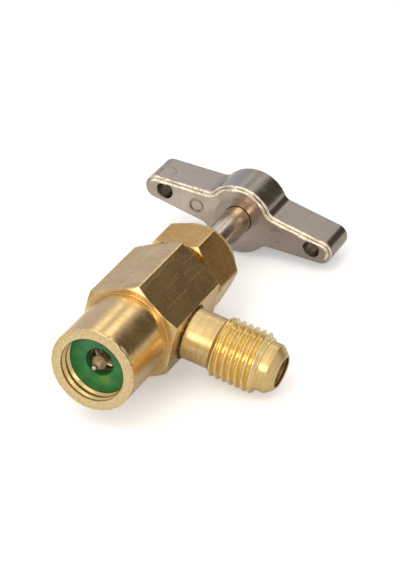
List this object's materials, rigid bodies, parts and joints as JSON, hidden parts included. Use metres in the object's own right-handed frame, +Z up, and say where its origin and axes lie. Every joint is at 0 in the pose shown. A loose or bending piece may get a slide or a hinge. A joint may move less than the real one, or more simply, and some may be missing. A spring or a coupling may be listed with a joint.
{
  "type": "refrigerant can tap",
  "caption": "Brass piercing tap for a refrigerant can: hexagon body with a can socket, a flared side port for a hose and a T-handle on a threaded stem that drives the needle.",
  "frame": {"origin": "on the table, under the middle of the bounding box of the tap as it lies at rest", "axes": "+Z up from the table, +Y along the body in plan, from the can socket to the handle, +X to the side port's side. The tap rests on its hexagon's ridge, its port thread and its handle hub, so the side port points about 12 degrees down."},
  "size_m": [0.0448, 0.0678, 0.0202],
  "materials": {
    "brass": "turned and drawn brass, satin",
    "bronze": "machined bronze",
    "plated_steel": "polished nickel plate on steel",
    "plated_casting": "nickel plate on die-cast zinc, satin",
    "joint_metal": "dark, rough brazing metal",
    "green_rubber": "moulded green rubber, satin",
    "black_rubber": "moulded black rubber"
  },
  "bodies": {
    "body": {"valve_body": "brass", "side_port": "brass", "port_joint": "joint_metal", "can_gasket": "green_rubber", "packing_washer": "brass", "stem_packing": "black_rubber", "gland_follower": "brass", "packing_nut": "brass"},
    "needle": {"piercing_needle": "bronze"},
    "spindle": {"stem": "plated_steel", "t_handle": "plated_casting"}
  },
  "joints": [
    {"name": "needle_travel", "type": "slide", "parent": "body", "child": "needle", "axis": [0, 0.9972, -0.0753], "range_m": [-0.00125, 0.00375]},
    {"name": "handle_turn", "type": "hinge", "parent": "needle", "child": "spindle", "pos_m": [-0.00368, 0.02518, 0.00734], "axis": [0, 0.9972, -0.0753], "range_deg": [-360, 1080]}
  ],
  "couplings": [
    {"joint": "handle_turn", "follows": "needle_travel", "rad_per_m": 5026.5}
  ]
}
